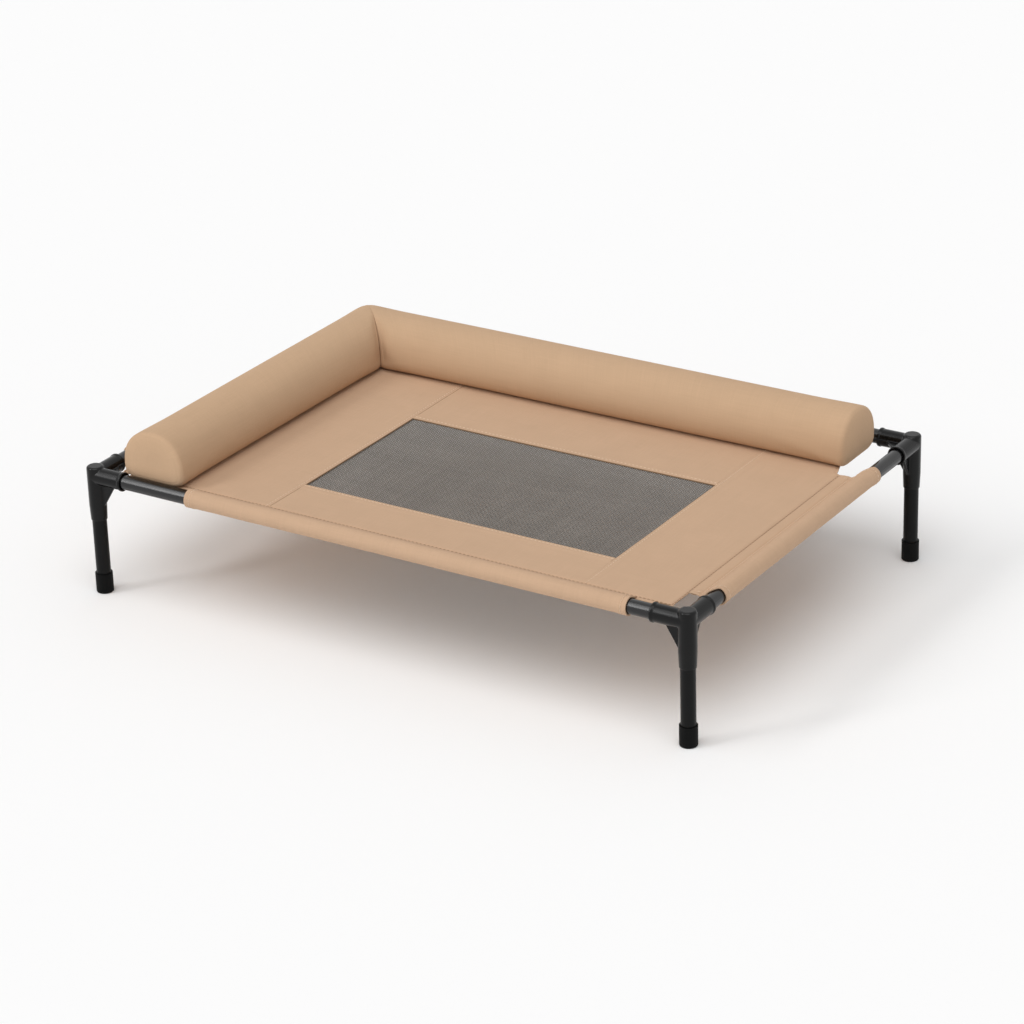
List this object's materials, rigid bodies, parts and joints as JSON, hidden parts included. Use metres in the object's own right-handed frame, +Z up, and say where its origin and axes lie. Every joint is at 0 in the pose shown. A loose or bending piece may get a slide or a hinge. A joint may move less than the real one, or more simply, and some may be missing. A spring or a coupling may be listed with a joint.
{
  "type": "raised dog cot",
  "caption": "Raised dog cot: black tube frame on push-fit legs, taut tan fabric deck with a grey mesh window, and a padded bolster along the left and back sides.",
  "frame": {"origin": "on the floor, under the centre of the frame", "axes": "+X along the length, from the bolster's side towards the open end; +Y from the open front towards the back bolster; +Z up"},
  "size_m": [0.66, 0.45, 0.175],
  "materials": {
    "frame_steel": "satin black powder coat",
    "fitting_plastic": "moulded black plastic, fine grain",
    "foot_rubber": "matte black rubber",
    "tan_fabric": "plain woven tan fabric",
    "grey_mesh": "open woven grey mesh",
    "white_filling": "loose white fibre"
  },
  "bodies": {
    "cot_frame": {"front_rail": "frame_steel", "back_rail": "frame_steel", "left_rail": "frame_steel", "right_rail": "frame_steel", "corner_front_left": "fitting_plastic", "corner_front_right": "fitting_plastic", "corner_back_left": "fitting_plastic", "corner_back_right": "fitting_plastic", "deck_left_panel": "tan_fabric", "deck_right_panel": "tan_fabric", "deck_front_panel": "tan_fabric", "deck_back_panel": "tan_fabric", "front_sleeve": "tan_fabric", "back_sleeve": "tan_fabric", "left_sleeve": "tan_fabric", "right_sleeve": "tan_fabric", "mesh_window": "grey_mesh", "left_bolster_cover": "tan_fabric", "back_bolster_cover": "tan_fabric", "left_bolster_end": "tan_fabric", "back_bolster_end": "tan_fabric", "left_bolster_filling": "white_filling", "back_bolster_filling": "white_filling"},
    "front_left_leg": {"leg_front_left": "frame_steel", "foot_front_left": "foot_rubber"},
    "front_right_leg": {"leg_front_right": "frame_steel", "foot_front_right": "foot_rubber"},
    "back_left_leg": {"leg_back_left": "frame_steel", "foot_back_left": "foot_rubber"},
    "back_right_leg": {"leg_back_right": "frame_steel", "foot_back_right": "foot_rubber"}
  },
  "joints": [
    {"name": "front_left_leg_pull", "type": "slide", "parent": "cot_frame", "child": "front_left_leg", "axis": [0, 0, -1], "range_m": [0, 0.032]},
    {"name": "front_right_leg_pull", "type": "slide", "parent": "cot_frame", "child": "front_right_leg", "axis": [0, 0, -1], "range_m": [0, 0.032]},
    {"name": "back_left_leg_pull", "type": "slide", "parent": "cot_frame", "child": "back_left_leg", "axis": [0, 0, -1], "range_m": [0, 0.032]},
    {"name": "back_right_leg_pull", "type": "slide", "parent": "cot_frame", "child": "back_right_leg", "axis": [0, 0, -1], "range_m": [0, 0.032]}
  ]
}
